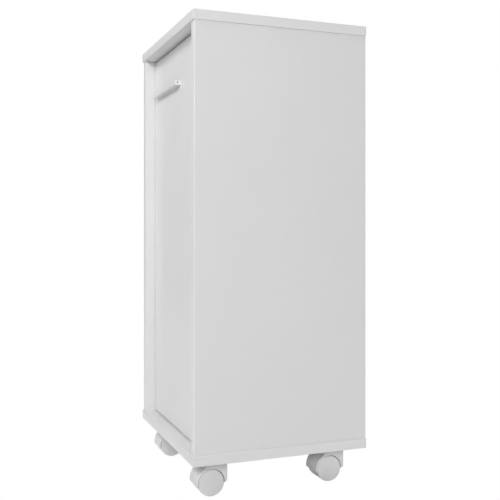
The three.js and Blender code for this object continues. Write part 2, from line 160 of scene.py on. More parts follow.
def white_melamine():
    """Foil-faced board: a fine pearl texture, faint clouding and a satin gloss."""
    surface = Surface("white_melamine", (0.70, 0.70, 0.698), 0.42)
    cloud = surface.spread(surface.noise(9, 4), 0.985, 1.01)
    fleck = surface.spread(surface.noise(900, 2), 0.99, 1.008)
    pearl = surface.math("ADD", surface.cells(1400), surface.noise(2600, 2))
    surface.relief(pearl, 0.12, 0.05 * MM)
    return surface.finish(surface.math("MULTIPLY", cloud, fleck), 0.08, surface.noise(240, 3))


def edge_band():
    """Extruded plastic edging: a little glossier than the foil, with faint lengthwise drag lines."""
    surface = Surface("edge_band", (0.715, 0.715, 0.713), 0.36)
    drag = surface.noise(700, 3, (0.02, 0.02, 1))
    cloud = surface.spread(surface.noise(30, 3), 0.985, 1.01)
    surface.relief(surface.math("ADD", drag, surface.noise(3000, 1)), 0.08, 0.04 * MM)
    return surface.finish(cloud, 0.1, surface.noise(150, 3))


def white_hardboard():
    """Lacquered hardboard: smooth lacquer over a soft fibrous surface."""
    surface = Surface("white_hardboard", (0.68, 0.68, 0.67), 0.55)
    fibres = surface.math("ADD", surface.noise(420, 5), surface.noise(1900, 2))
    cloud = surface.spread(surface.noise(14, 4), 0.97, 1.015)
    surface.relief(fibres, 0.18, 0.06 * MM)
    return surface.finish(cloud, 0.12, surface.noise(90, 3))


def pull_plastic():
    """Glossy moulded white plastic."""
    surface = Surface("pull_plastic", (0.73, 0.73, 0.73), 0.33)
    surface.shader.inputs["Coat Weight"].default_value = 0.15
    surface.shader.inputs["Coat Roughness"].default_value = 0.12
    cloud = surface.spread(surface.noise(60, 3), 0.985, 1.01)
    surface.relief(surface.noise(900, 2), 0.05, 0.03 * MM)
    return surface.finish(cloud, 0.08, surface.noise(180, 3))


def castor_plastic():
    """White nylon moulding: a spark-eroded fine grain and slightly uneven gloss."""
    surface = Surface("castor_plastic", (0.69, 0.69, 0.685), 0.38)
    grain = surface.math("ADD", surface.noise(2200, 3), surface.cells(3200))
    cloud = surface.spread(surface.noise(45, 4), 0.97, 1.015)
    surface.relief(grain, 0.1, 0.04 * MM)
    return surface.finish(cloud, 0.12, surface.noise(130, 4))


def wheel_plastic():
    """The wheels' harder plastic, scuffed a little by rolling."""
    surface = Surface("wheel_plastic", (0.70, 0.70, 0.695), 0.34)
    scuff = surface.noise(320, 5)
    cloud = surface.spread(surface.noise(60, 4), 0.965, 1.015)
    surface.relief(surface.math("ADD", scuff, surface.noise(2600, 2)), 0.08, 0.04 * MM)
    return surface.finish(cloud, 0.12, scuff)


def grey_plastic():
    """Moulded grey plastic of the catch."""
    surface = Surface("grey_plastic", (0.27, 0.275, 0.28), 0.5)
    grain = surface.noise(1800, 4)
    cloud = surface.spread(surface.noise(80, 3), 0.94, 1.04)
    surface.relief(grain, 0.16, 0.05 * MM)
    return surface.finish(cloud, 0.14, surface.noise(200, 3))


def zinc_steel():
    """Bright zinc plating: cloudy spangle, rolling lines and a few duller spots."""
    surface = Surface("zinc_steel", (0.55, 0.56, 0.57), 0.34, metallic=1.0)
    spangle = surface.cells(380)
    lines = surface.noise(1300, 3, (1, 1, 0.05))
    cloud = surface.spread(surface.math("ADD", spangle, surface.noise(70, 4)), 0.86, 1.08, 0.4, 1.2)
    surface.relief(surface.math("ADD", lines, spangle), 0.1, 0.03 * MM)
    return surface.finish(cloud, 0.12, surface.noise(260, 4))


def magnet_ferrite():
    """Dark sintered magnet between the catch's steel plates."""
    surface = Surface("magnet_ferrite", (0.05, 0.05, 0.052), 0.6)
    grain = surface.noise(1500, 4)
    surface.relief(grain, 0.3, 0.06 * MM)
    return surface.finish(surface.spread(grain, 0.8, 1.3), 0.15, surface.noise(300, 3))


MATERIALS = {
    "melamine": white_melamine(),
    "band": edge_band(),
    "hardboard": white_hardboard(),
    "pull": pull_plastic(),
    "castor": castor_plastic(),
    "wheel": wheel_plastic(),
    "grey": grey_plastic(),
    "steel": zinc_steel(),
    "magnet": magnet_ferrite(),
}

# ---------------------------------------------------------------- mesh tools


def soft_box(low, high, radius, segments=3, chosen=None):
    """A box with rounded edges. chosen picks the edges to round by their two ends; all by default."""
    bm = bmesh.new()
    bmesh.ops.create_cube(bm, size=1)
    bmesh.ops.scale(bm, vec=high - low, verts=bm.verts)
    bmesh.ops.translate(bm, vec=(low + high) / 2, verts=bm.verts)
    edges = [e for e in bm.edges if chosen is None or chosen(*[v.co for v in e.verts])]
    bmesh.ops.bevel(bm, geom=edges, offset=radius, segments=segments, profile=0.5, affect="EDGES")
    return bm


def lathe(profile, sides=ROUND):
    """Turns (radius, height) points around +Z. The profile starts and ends on the axis."""
    bm = bmesh.new()
    rings = []
    for radius, height in profile:
        count = sides if radius > 0 else 1
        turns = [2 * math.pi * i / count for i in range(count)]
        rings.append([bm.verts.new((radius * math.cos(t), radius * math.sin(t), height)) for t in turns])
    for lower, upper in zip(rings, rings[1:]):
        for i in range(sides):
            j = (i + 1) % sides
            corners = [ring[k % len(ring)] for ring, k in ((lower, i), (lower, j), (upper, j), (upper, i))]
            bm.faces.new(list(dict.fromkeys(corners)))
    bmesh.ops.recalc_face_normals(bm, faces=bm.faces)
    return bm


def prism(outline, low, high, radius=0.0, segments=2):
    """Extrudes an (x, y) outline along Z from low to high, with its two rims rounded."""
    bm = bmesh.new()
    face = bm.faces.new([bm.verts.new((x, y, low)) for x, y in outline])
    made = bmesh.ops.extrude_face_region(bm, geom=[face])
    moved = [item for item in made["geom"] if isinstance(item, bmesh.types.BMVert)]
    bmesh.ops.translate(bm, vec=(0, 0, high - low), verts=moved)
    bmesh.ops.recalc_face_normals(bm, faces=bm.faces)
    if radius:
        rims = [e for e in bm.edges if abs(e.verts[0].co.z - e.verts[1].co.z) < 1e-9]
        bmesh.ops.bevel(bm, geom=rims, offset=radius, segments=segments, profile=0.5, affect="EDGES")
    return bm


def soften(points, radius, steps=4, closed=False):
    """Rounds the corners of a line of points, each by at most the radius."""
    count = len(points)
    rounded = []
    for i, point in enumerate(points):
        here = Vector(point)
        if not closed and i in (0, count - 1):
            rounded.append(tuple(here))
            continue
        before = Vector(points[i - 1])
        after = Vector(points[(i + 1) % count])
        reach = min(radius, (before - here).length * 0.45, (after - here).length * 0.45)
        start = here + (before - here).normalized() * reach
        stop = here + (after - here).normalized() * reach
        for k in range(steps + 1):
            t = k / steps
            rounded.append(tuple(start * (1 - t) ** 2 + here * 2 * t * (1 - t) + stop * t ** 2))
    return rounded


def arc(centre, radius, start, stop, steps):
    """Points on an arc, with its angles in degrees."""
    angles = [math.radians(start + (stop - start) * i / steps) for i in range(steps + 1)]
    return [(centre[0] + radius * math.cos(a), centre[1] + radius * math.sin(a)) for a in angles]


AXIS_TURNS = {
    "+X": Matrix.Rotation(math.pi / 2, 4, "Y"),
    "-X": Matrix.Rotation(-math.pi / 2, 4, "Y"),
    "-Y": Matrix.Rotation(math.pi / 2, 4, "X"),
    "+Z": Matrix.Identity(4),
}
# Turns an outline drawn as (Y, Z) and extruded along Z into one extruded along X.
ACROSS = Matrix(((0, 0, 1, 0), (1, 0, 0, 0), (0, 1, 0, 0), (0, 0, 0, 1)))


def put(bm, place, turn=Matrix.Identity(4)):
    bmesh.ops.transform(bm, matrix=Matrix.Translation(place) @ turn, verts=bm.verts)
    return bm


def plug(place, axis, radius, length, sides=ROUND):
    """A plain round cutter from a point along an axis."""
    return put(lathe([(0, 0), (radius, 0), (radius, length), (0, length)], sides), place, AXIS_TURNS[axis])


def to_object(bm, name):
    mesh = bpy.data.meshes.new(name)
    bm.to_mesh(mesh)
    bm.free()
    made = bpy.data.objects.new(name, mesh)
    bpy.context.scene.collection.objects.link(made)
    return made


def combine(bm, others, operation):
    """Cuts the others from a mesh, or joins them to it, with exact booleans."""
    base = to_object(bm, "boolean_base")
    tools = [to_object(other, "boolean_tool") for other in others]
    for tool in tools:
        modifier = base.modifiers.new("boolean", "BOOLEAN")
        modifier.operation = operation
        modifier.solver = "EXACT"
        modifier.object = tool
    depsgraph = bpy.context.evaluated_depsgraph_get()
    result = bpy.data.meshes.new_from_object(base.evaluated_get(depsgraph))
    made = bmesh.new()
    made.from_mesh(result)
    bmesh.ops.dissolve_degenerate(made, dist=1e-6, edges=made.edges)
    for temporary in [base, *tools]:
        old = temporary.data
        bpy.data.objects.remove(temporary)
        bpy.data.meshes.remove(old)
    bpy.data.meshes.remove(result)
    return made


def cut(bm, *cutters):
    return combine(bm, cutters, "DIFFERENCE")


def join(bm, *others):
    return combine(bm, others, "UNION")


def add_piece(name, bm, material, like, replaces=(), edge=0.0):
    """Adds a piece that rides with a CAD node's body, in the given material. edge rounds what is still
    sharp.
    """
    piece = to_object(bm, name)
    piece.data.materials.append(MATERIALS[material])
    piece.data.shade_smooth()
    if edge:
        bevel = piece.modifiers.new("edge_rounding", "BEVEL")
        bevel.width = edge
        bevel.segments = 2
        bevel.limit_method = "ANGLE"
        bevel.angle_limit = math.radians(40)
        bevel.harden_normals = True
    else:
        piece.data.set_sharp_from_angle(angle=math.radians(38))
        weighted = piece.modifiers.new("even_normals", "WEIGHTED_NORMAL")
        weighted.keep_sharp = True
    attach(piece, BODY_OF[like])
    if replaces:
        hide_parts(*replaces)
    return piece


# ---------------------------------------------------------------- screws, for boards to be bored

SCREW_SIZES = {                 # shank radius, length, head radius and head height
    "castor_plate": (1.7 * MM, 13 * MM, 3.6 * MM, 1.9 * MM),
    "hinge": (1.4 * MM, 12 * MM, 2.9 * MM, 1.1 * MM),
    "catch": (1.5 * MM, 12 * MM, 3 * MM, 1.6 * MM),
    "strike": (1.5 * MM, 11 * MM, 2.8 * MM, 0.9 * MM),
}
PULL_SCREW_RADIUS = 1.5 * MM
PULL_SCREW_HEAD = 4 * MM        # radius of the head
PLATE_SCREW_REACH = 15 * MM     # middle of a castor plate to its screws, in X and in Y
HINGE_SCREW_REACH = 17.5 * MM   # middle of a hinge to its outer screws
HINGE_SCREW_INSET = 5.2 * MM    # back edge of a leaf to its screws
CATCH_SCREW_REACH = 17 * MM     # middle of the catch to its screws
CATCH_EAR = 3 * MM              # thickness of the catch's ears
HINGE_LEAF = 1.2 * MM           # thickness of a hinge leaf


class Screw:
    """A fastener: where its head's outer face is, which way it points in, and its sizes."""

    def __init__(self, name, like, place, axis, radius, length, head_radius, head_height, countersunk):
        self.name = name
        self.like = like
        self.place = Vector(place)
        self.axis = axis
        self.radius = radius
        self.length = length
        self.head_radius = head_radius
        self.head_height = head_height
        self.countersunk = countersunk

    def bore(self):
        return plug(self.place, self.axis, self.radius + BORE_GAP, self.length + BORE_GAP, BORE_ROUND)

    def sunk_bore(self):
        """The bore with the cone that a countersunk head needs in its plate."""
        wide = self.head_radius + BORE_GAP
        narrow = self.radius + BORE_GAP
        deep = self.length + BORE_GAP
        cone = [(wide, -MM), (wide, 0.02 * MM), (narrow, self.head_height)]
        profile = [(0, -MM), *cone, (narrow, deep), (0, deep)]
        return put(lathe(profile, BORE_ROUND), self.place, AXIS_TURNS[self.axis])

    def profile(self):
        tip = self.length - 2 * self.radius
        if self.countersunk:
            rim = [(self.head_radius, 0), (self.head_radius, 0.15 * MM)]
            head = [(0, 0), *rim, (self.radius, self.head_height)]
        else:
            dome = arc((0, 0), 1, 270, 360, 8)
            head = [(self.head_radius * x, self.head_height * y) for x, y in dome]
            head[0] = (0, -self.head_height)
            head.append((self.radius, 0))
        return head + [(self.radius, tip), (0, self.length)]

    def build(self, replaces=()):
        """The screw itself, with a cross recess in its head."""
        body = lathe(self.profile(), SMALL_ROUND)
        top = 0 if self.countersunk else -self.head_height
        reach = self.head_radius * 0.55
        arm = self.head_radius * 0.1
        deep = top + self.head_height * (0.75 if self.countersunk else 0.55)
        slots = []
        for wide, narrow in ((reach, arm), (arm, reach)):
            slot_low = Vector((-wide, -narrow, top - MM))
            slot_high = Vector((wide, narrow, deep))
            slots.append(soft_box(slot_low, slot_high, 0.05 * MM, 1))
        made = put(cut(body, *slots), self.place, AXIS_TURNS[self.axis])
        return add_piece(self.name, made, "steel", self.like, replaces)


def pull_screws():
    """The two round-headed screws that hold the pull, from inside the door."""
    found = []
    for side in SIDES:
        node = f"pull_screw_{side}"
        low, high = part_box(node)
        centre = middle(node)
        face_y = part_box("door_panel")[1].y
        place = (centre.x, face_y, centre.z)
        sizes = (PULL_SCREW_RADIUS, face_y - low.y, PULL_SCREW_HEAD, high.y - face_y)
        found.append(Screw(f"{node}_shape", node, place, "-Y", *sizes, False))
    return found


def castor_plate_screws():
    """Four countersunk screws through the corners of each castor plate."""
    found = []
    reaches = (-PLATE_SCREW_REACH, PLATE_SCREW_REACH)
    corners = [(x, y) for x in reaches for y in reaches]
    for castor in CASTORS:
        node = f"{castor}_plate"
        centre = middle(node)
        low_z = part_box(node)[0].z
        for i, (x, y) in enumerate(corners, 1):
            place = (centre.x + x, centre.y + y, low_z)
            name = f"{node}_screw_{i}"
            found.append(Screw(name, node, place, "+Z", *SCREW_SIZES["castor_plate"], True))
    return found


def hinge_screws(leaf_word, axis):
    """Three countersunk screws through each leaf of one kind, heads towards the other leaf."""
    found = []
    for level in LEVELS:
        node = f"{level}_hinge_{leaf_word}_leaf"
        high_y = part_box(node)[1].y
        centre = middle(node)
        head_x = hinge_plate_x(node)[0 if axis == "+X" else 1]
        for i, offset in enumerate((-HINGE_SCREW_REACH, 0, HINGE_SCREW_REACH), 1):
            place = (head_x, high_y - HINGE_SCREW_INSET, centre.z + offset)
            name = f"{node}_screw_{i}"
            found.append(Screw(name, node, place, axis, *SCREW_SIZES["hinge"], True))
    return found


def hinge_plate_x(node):
    """The two X faces of a hinge leaf's flat plate."""
    if "door" in node:
        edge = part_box("door_panel")[1].x
        return edge, edge + HINGE_LEAF
    high_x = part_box(node)[1].x
    return high_x - HINGE_LEAF, high_x


def catch_screws():
    """Two round-headed screws through the ears of the catch."""
    centre = middle("magnetic_catch")
    ear_low_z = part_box("magnetic_catch")[1].z - CATCH_EAR
    found = []
    for side, sign in SIDES.items():
        place = (centre.x + sign * CATCH_SCREW_REACH, centre.y, ear_low_z)
        name = f"magnetic_catch_screw_{side}"
        found.append(Screw(name, CABINET_STEEL, place, "+Z", *SCREW_SIZES["catch"], False))
    return found


def strike_screw():
    """The one countersunk screw in the middle of the strike plate."""
    high_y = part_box("strike_plate")[1].y
    centre = middle("strike_plate")
    place = (centre.x, high_y, centre.z)
    return Screw("strike_plate_screw", "strike_plate", place, "-Y", *SCREW_SIZES["strike"], True)


PULL_SCREWS = pull_screws()
PLATE_SCREWS = castor_plate_screws()
FRAME_LEAF_SCREWS = hinge_screws("frame", "+X")
DOOR_LEAF_SCREWS = hinge_screws("door", "-X")
CATCH_SCREWS = catch_screws()
STRIKE_SCREW = strike_screw()

# ---------------------------------------------------------------- boards with edge bands

AXES = {"x": 0, "y": 1, "z": 2}
AXIS_WORDS = {"x": "side", "y": "depth", "z": "height"}
SHELF_PIN_RADIUS = 2.5 * MM
SHELF_PIN_BURIED = 8 * MM       # how much of a shelf pin is in its side panel
LONG_SCREW_SHANK_BORE = 2.7 * MM
LONG_SCREW_HEAD_DEPTH = 5.2 * MM


def banded_board(node, long_sides, short_sides=(), cutters=(), band_cutters=None):
    """A faced board core with a glued band on each named side, such as ("y", -1) for its front.

    The bands on the long sides run the whole length, and those on the short sides lie between them.
    """
    low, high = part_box(node)
    core_low = low.copy()
    core_high = high.copy()
    for axis, sign in [*long_sides, *short_sides]:
        corner = core_low if sign < 0 else core_high
        corner[AXES[axis]] -= sign * BAND
    core = soft_box(core_low, core_high, SEAM, 1)
    if cutters:
        core = cut(core, *cutters)
    add_piece(f"{node}_core", core, "melamine", node, [node])
    long_axes = {AXES[axis] for axis, _ in long_sides}
    for axis, sign in [*long_sides, *short_sides]:
        k = AXES[axis]
        band_low = low.copy()
        band_high = high.copy()
        if (axis, sign) in short_sides:
            for j in long_axes:
                band_low[j] = core_low[j]
                band_high[j] = core_high[j]
        if sign < 0:
            band_high[k] = core_low[k]
        else:
            band_low[k] = core_high[k]
        outer = band_low[k] if sign < 0 else band_high[k]

        def on_outer_face(a, b, k=k, outer=outer):
            return abs(a[k] - outer) < 1e-7 and abs(b[k] - outer) < 1e-7

        band = soft_box(band_low, band_high, ARRIS, 4, on_outer_face)
        if band_cutters and (axis, sign) in band_cutters:
            band = cut(band, *band_cutters[axis, sign])
        end = "low" if sign < 0 else "high"
        add_piece(f"{node}_band_{AXIS_WORDS[axis]}_{end}", band, "band", node)


def back_groove(low_z, high_z):
    """Room for the back panel, cut across the boards that hold it."""
    low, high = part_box("back_panel")
    gap = Vector((0.5 * MM, 0.25 * MM, 0))
    return soft_box(
        Vector((low.x, low.y, low_z)) - gap,
        Vector((high.x, high.y, high_z)) + gap,
        0.05 * MM,
        1,
    )


def assembly_screw_bores(side=None):
    """Bores for the long screws: head and shank, for one side or for both."""
    made = []
    for one in SIDES if side is None else [side]:
        for row in ROWS:
            low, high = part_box(f"assembly_screw_{row}_{one}")
            centre = (low + high) / 2
            start = Vector((centre.x, centre.y, low.z - MM))
            head = (high.x - low.x) / 2 + BORE_GAP
            made.append(plug(start, "+Z", head, LONG_SCREW_HEAD_DEPTH, BORE_ROUND))
            length = high.z - low.z + MM + BORE_GAP
            made.append(plug(start, "+Z", LONG_SCREW_SHANK_BORE, length, BORE_ROUND))
    return made


def shelf_pin_bores(side):
    """The four bores in one side panel where its shelf pins are pushed in."""
    made = []
    for level in LEVELS:
        for row in ROWS:
            low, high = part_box(f"{level}_shelf_pin_{row}_{side}")
            centre_z = high.z - SHELF_PIN_RADIUS
            buried = SHELF_PIN_BURIED + BORE_GAP
            start_x = low.x - BORE_GAP if SIDES[side] < 0 else high.x - buried
            start = Vector((start_x, (low.y + high.y) / 2, centre_z))
            made.append(plug(start, "+X", SHELF_PIN_RADIUS + BORE_GAP, buried + BORE_GAP, BORE_ROUND))
    return made


def cam_bores(side):
    """The pockets for one side panel's cam locks."""
    made = []
    for row in ROWS:
        low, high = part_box(f"cam_lock_{row}_{side}")
        centre = (low + high) / 2
        depth = high.x - low.x + MM
        start_x = low.x - BORE_GAP if SIDES[side] < 0 else high.x + BORE_GAP - depth
        start = Vector((start_x, centre.y, centre.z))
        made.append(plug(start, "+X", (high.y - low.y) / 2 + BORE_GAP, depth, SMALL_ROUND))
    return made


def build_boards():
    floor_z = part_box("bottom_board")[1].z
    ceiling_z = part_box("top_board")[0].z
    back_low, back_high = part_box("back_panel")
    all_round = [("y", -1), ("y", 1)], [("x", -1), ("x", 1)]

    bottom_cuts = [back_groove(back_low.z - 0.5 * MM, floor_z + MM), *assembly_screw_bores()]
    bottom_cuts += [screw.bore() for screw in PLATE_SCREWS]
    banded_board("bottom_board", *all_round, bottom_cuts)

    top_cuts = [back_groove(ceiling_z - MM, back_high.z + 0.5 * MM)]
    top_cuts += [screw.bore() for screw in CATCH_SCREWS]
    banded_board("top_board", *all_round, top_cuts)

    for side in SIDES:
        cuts = [back_groove(floor_z - MM, ceiling_z + MM), *assembly_screw_bores(side)]
        cuts += [*shelf_pin_bores(side), *cam_bores(side)]
        if side == "right":
            cuts += [screw.bore() for screw in FRAME_LEAF_SCREWS]
        banded_board(f"{side}_side_panel", [("y", -1), ("y", 1)], (), cuts)

    for level in LEVELS:
        banded_board(f"{level}_shelf", [("y", -1)])

    door_cuts = [screw.bore() for screw in [*PULL_SCREWS, STRIKE_SCREW, *DOOR_LEAF_SCREWS]]
    hinge_edge = {("x", 1): [screw.bore() for screw in DOOR_LEAF_SCREWS]}
    banded_board("door_panel", [("x", -1), ("x", 1)], [("z", -1), ("z", 1)], door_cuts, hinge_edge)

    sheet = soft_box(back_low, back_high, 0.25 * MM, 2)
    add_piece("back_panel_sheet", sheet, "hardboard", "back_panel", ["back_panel"])


# ---------------------------------------------------------------- door pull

PULL_GROOVE = 2.0 * MM
PULL_FLOOR = 2.6 * MM           # thickness under the groove
PULL_BOSS = 8 * MM
PULL_CORNER = 0.55 * MM
BOSS_SUNK = 0.5 * MM            # how far a boss reaches into the two walls


def build_pull():
    """Moulded channel bar, open at its top, with a boss in the channel at each screw."""
    low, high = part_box("door_pull")
    depth = high.y - low.y
    height = high.z - low.z
    wall = (depth - PULL_GROOVE) / 2
    outline = [
        (0, 0),
        (0, height),
        (-wall, height),
        (-wall, PULL_FLOOR),
        (-wall - PULL_GROOVE, PULL_FLOOR),
        (-wall - PULL_GROOVE, height),
        (-depth, height),
        (-depth, 0),
    ]
    half = (high.x - low.x) / 2
    bar = prism(soften(outline, PULL_CORNER, 4, closed=True), -half, half, 0.25 * MM)
    put(bar, ((low.x + high.x) / 2, high.y, low.z), ACROSS)
    bosses = []
    for screw in PULL_SCREWS:
        front_y = high.y - wall - PULL_GROOVE - BOSS_SUNK
        boss_low = Vector((screw.place.x - PULL_BOSS / 2, front_y, low.z + MM))
        boss_high = Vector((screw.place.x + PULL_BOSS / 2, high.y - wall + BOSS_SUNK, high.z - MM))
        bosses.append(soft_box(boss_low, boss_high, 0.2 * MM, 2))
    bored = cut(join(bar, *bosses), *[screw.bore() for screw in PULL_SCREWS])
    add_piece("door_pull_bar", bored, "pull", "door_pull", ["door_pull"])
    for screw in PULL_SCREWS:
        screw.build([screw.like])


# ---------------------------------------------------------------- door hinges

HINGE_LENGTH = 50 * MM
HINGE_KNUCKLES = 5
KNUCKLE_GAP = 0.3 * MM
LEAF_CORNER = 3 * MM
LEAF_STEP = 0.5 * MM            # middle and back of the barrels to the teeth of the leaf's outline
TAB_STEP = 0.05 * MM            # the tab behind a knuckle is this much shorter at each end
BARREL_RADIUS = 3 * MM
HINGE_PIN_RADIUS = 1.2 * MM
HINGE_PIN_BORE = 1.35 * MM
HINGE_PIN_HEAD = 1.2 * MM


def hinge_leaf(node, pin, first_knuckle, screws):
    """A stamped leaf: a flat plate with rounded corners whose front curls round the pin.

    It is made with its middle at height 0 and then lifted, so that both levels get the same mesh.
    """
    plate_low_x, plate_high_x = hinge_plate_x(node)
    back_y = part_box(node)[1].y
    span_low = -HINGE_LENGTH / 2
    span_high = HINGE_LENGTH / 2
    pitch = HINGE_LENGTH / HINGE_KNUCKLES
    tooth_y = pin.y + LEAF_STEP
    plate_front_y = pin.y + BARREL_RADIUS + LEAF_STEP
    comb = []
    barrels = []
    for i in range(first_knuckle, HINGE_KNUCKLES, 2):
        low_z = span_low + i * pitch + KNUCKLE_GAP / 2
        high_z = low_z + pitch - KNUCKLE_GAP
        barrels.append(plug(Vector((pin.x, pin.y, low_z)), "+Z", BARREL_RADIUS, high_z - low_z))
        comb += [
            (plate_front_y, low_z + TAB_STEP),
            (tooth_y, low_z + TAB_STEP),
            (tooth_y, high_z - TAB_STEP),
            (plate_front_y, high_z - TAB_STEP),
        ]
    if first_knuckle:
        comb = [(plate_front_y, span_low), *comb, (plate_front_y, span_high)]
    back = soften([comb[-1], (back_y, span_high), (back_y, span_low), comb[0]], LEAF_CORNER, 6)
    plate = put(prism(comb + back[1:-1], plate_low_x, plate_high_x), (0, 0, 0), ACROSS)
    pin_bore = plug(Vector((pin.x, pin.y, span_low - MM)), "+Z", HINGE_PIN_BORE, HINGE_LENGTH + 2 * MM)
    screw_bores = [put(screw.sunk_bore(), (0, 0, -pin.z)) for screw in screws]
    made = cut(join(plate, *barrels), pin_bore, *screw_bores)
    add_piece(f"{node}_shape", put(made, (0, 0, pin.z)), "steel", node, [node], edge=0.12 * MM)


def hinge_pin(node):
    """A steel pin with a chamfered head at both ends."""
    low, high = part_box(node)
    centre = middle(node)
    half = (high.z - low.z) / 2
    head = (high.x - low.x) / 2
    seat = half - HINGE_PIN_HEAD
    lower = [
        (0, -half),
        (head * 0.75, -half),
        (head, -half + 0.5 * MM),
        (head, -seat),
        (HINGE_PIN_RADIUS, -seat),
    ]
    upper = [(radius, -height) for radius, height in reversed(lower)]
    pin = put(lathe(lower + upper, SMALL_ROUND), centre)
    add_piece(f"{node}_shape", pin, "steel", node, [node])


def build_hinges():
    for level in LEVELS:
        pin = middle(f"{level}_hinge_pin")
        for word, first, screws in (("frame", 0, FRAME_LEAF_SCREWS), ("door", 1, DOOR_LEAF_SCREWS)):
            node = f"{level}_hinge_{word}_leaf"
            own = [screw for screw in screws if screw.like == node]
            hinge_leaf(node, pin, first, own)
            for screw in own:
                screw.build()
        hinge_pin(f"{level}_hinge_pin")


# ---------------------------------------------------------------- small fittings

SHELF_PIN_COLLAR = 4 * MM       # radius of the collar
SHELF_PIN_COLLAR_WIDTH = 1.5 * MM
CAM_RECESS = 1.8 * MM           # depth of the cross
CAM_ARM = 0.8 * MM              # half the width of the cross's arms
CAM_NOTCH = 0.5 * MM            # half the width of the pointer notch
LONG_SCREW_SHANK = 2.5 * MM
LONG_SCREW_SOCKET = 2.3 * MM    # middle of the hexagon socket to its corners
LONG_SCREW_TAPER = 4 * MM       # length of the head's cone and of the pointed end
CATCH_HALF_BODY = 12 * MM
CATCH_WINDOW = 9 * MM           # half the width of the opening for the magnet
CATCH_POLE = 1.2 * MM           # thickness of a pole plate
CATCH_GAP = 0.15 * MM


def build_shelf_pins():
    """Steel pins with a collar that is flat on top, where the shelf rests."""
    shank = SHELF_PIN_RADIUS
    collar_start = SHELF_PIN_BURIED
    collar_stop = collar_start + SHELF_PIN_COLLAR_WIDTH
    for level in LEVELS:
        for row in ROWS:
            for side, sign in SIDES.items():
                node = f"{level}_shelf_pin_{row}_{side}"
                low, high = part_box(node)
                length = high.x - low.x
                corners = [
                    (0, 0),
                    (shank, 0),
                    (shank, collar_start),
                    (SHELF_PIN_COLLAR, collar_start),
                    (SHELF_PIN_COLLAR, collar_stop),
                    (shank, collar_stop),
                    (shank, length),
                    (0, length),
                ]
                wall_x = low.x if sign < 0 else high.x
                start = Vector((wall_x, (low.y + high.y) / 2, high.z - shank))
                pin = lathe(soften(corners, 0.3 * MM, 3), 40)
                put(pin, start, AXIS_TURNS["+X" if sign < 0 else "-X"])
                top_low = Vector((low.x - MM, low.y - MM, high.z))
                top_high = Vector((high.x + MM, high.y + MM, high.z + 5 * MM))
                made = cut(pin, soft_box(top_low, top_high, 0.02 * MM, 1))
                add_piece(f"{node}_shape", made, "steel", node, [node])


def build_cam_locks():
    """Die-cast cams with a cross recess and a pointer notch in the face that shows."""
    for row in ROWS:
        for side, sign in SIDES.items():
            node = f"cam_lock_{row}_{side}"
            low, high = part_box(node)
            radius = (high.y - low.y) / 2
            length = high.x - low.x
            body = lathe(soften([(0, 0), (radius, 0), (radius, length), (0, length)], 0.4 * MM, 3))
            arm = radius * 0.62
            spans = [
                ((-arm, -CAM_ARM, -MM), (arm, CAM_ARM, CAM_RECESS)),
                ((-CAM_ARM, -arm, -MM), (CAM_ARM, arm, CAM_RECESS)),
                ((radius * 0.78, -CAM_NOTCH, -MM), (radius + MM, CAM_NOTCH, 0.8 * MM)),
            ]
            recesses = [soft_box(Vector(start), Vector(stop), 0.1 * MM, 1) for start, stop in spans]
            face_x = high.x if sign < 0 else low.x
            place = Vector((face_x, (low.y + high.y) / 2, (low.z + high.z) / 2))
            made = put(cut(body, *recesses), place, AXIS_TURNS["-X" if sign < 0 else "+X"])
            add_piece(f"{node}_shape", made, "steel", node, [node])


def build_assembly_screws():
    """Long screws with a countersunk head and a hexagon socket, flush under the bottom board."""
    for row in ROWS:
        for side in SIDES:
            node = f"assembly_screw_{row}_{side}"
            low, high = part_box(node)
            length = high.z - low.z
            head = (high.x - low.x) / 2
            profile = [
                (0, 0),
                (head - 0.3 * MM, 0),
                (head, 0.3 * MM),
                (head, 1.6 * MM),
                (LONG_SCREW_SHANK, LONG_SCREW_TAPER),
                (LONG_SCREW_SHANK, length - LONG_SCREW_TAPER),
                (0, length),
            ]
            body = lathe(profile, SMALL_ROUND)
            socket = plug(Vector((0, 0, -MM)), "+Z", LONG_SCREW_SOCKET, 3.8 * MM, 6)
            centre = middle(node)
            made = put(cut(body, socket), (centre.x, centre.y, low.z))
            add_piece(f"{node}_shape", made, "steel", node, [node])


